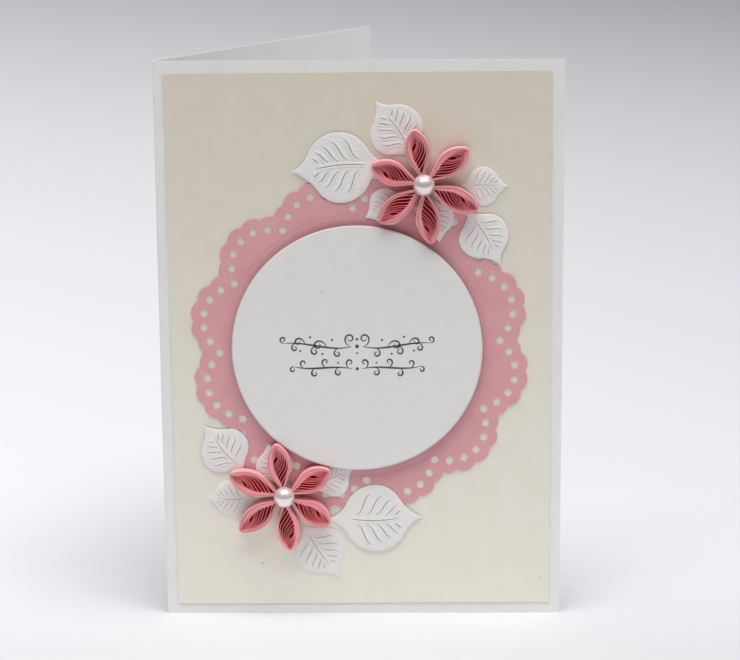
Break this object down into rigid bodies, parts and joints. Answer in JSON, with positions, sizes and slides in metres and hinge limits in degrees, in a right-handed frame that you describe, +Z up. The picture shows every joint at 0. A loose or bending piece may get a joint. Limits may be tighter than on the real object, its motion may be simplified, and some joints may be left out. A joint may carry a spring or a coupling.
{
  "type": "quilled greeting card",
  "caption": "Folded card standing open like a book, its front dressed with a cream mat, a scalloped pink doily, a raised round plaque, quilled paper flowers, white leaves and half-round pearls.",
  "frame": {"origin": "bottom centre of the whole card's bounding box, on the surface it stands on", "axes": "+Z up the panels, -Y out of the dressed front, +X from the fold to the front panel's free edge"},
  "size_m": [0.105, 0.0974, 0.148],
  "materials": {
    "white_card": "smooth matte",
    "pearl_cream_paper": "pearlescent satin",
    "pink_paper": "matte",
    "linen_card": "fine linen emboss",
    "white_foam": "foam",
    "white_leaf_paper": "matte, embossed",
    "quilling_paper": "matte",
    "pearl_plastic": "pearl nacre, glossy"
  },
  "bodies": {
    "root": {"folded_card": "white_card", "cream_mat": "pearl_cream_paper", "scalloped_doily": "pink_paper", "plaque_foam_pads": "white_foam", "round_plaque": "linen_card", "top_leaf_1": "white_leaf_paper", "top_leaf_2": "white_leaf_paper", "top_leaf_3": "white_leaf_paper", "top_leaf_4": "white_leaf_paper", "top_leaf_5": "white_leaf_paper", "top_leaf_6": "white_leaf_paper", "top_petal_1": "quilling_paper", "top_petal_2": "quilling_paper", "top_petal_3": "quilling_paper", "top_petal_4": "quilling_paper", "top_petal_5": "quilling_paper", "top_petal_6": "quilling_paper", "top_pearl": "pearl_plastic", "bottom_leaf_1": "white_leaf_paper", "bottom_leaf_2": "white_leaf_paper", "bottom_leaf_3": "white_leaf_paper", "bottom_leaf_4": "white_leaf_paper", "bottom_leaf_5": "white_leaf_paper", "bottom_leaf_6": "white_leaf_paper", "bottom_petal_1": "quilling_paper", "bottom_petal_2": "quilling_paper", "bottom_petal_3": "quilling_paper", "bottom_petal_4": "quilling_paper", "bottom_petal_5": "quilling_paper", "bottom_petal_6": "quilling_paper", "bottom_pearl": "pearl_plastic"}
  },
  "joints": []
}
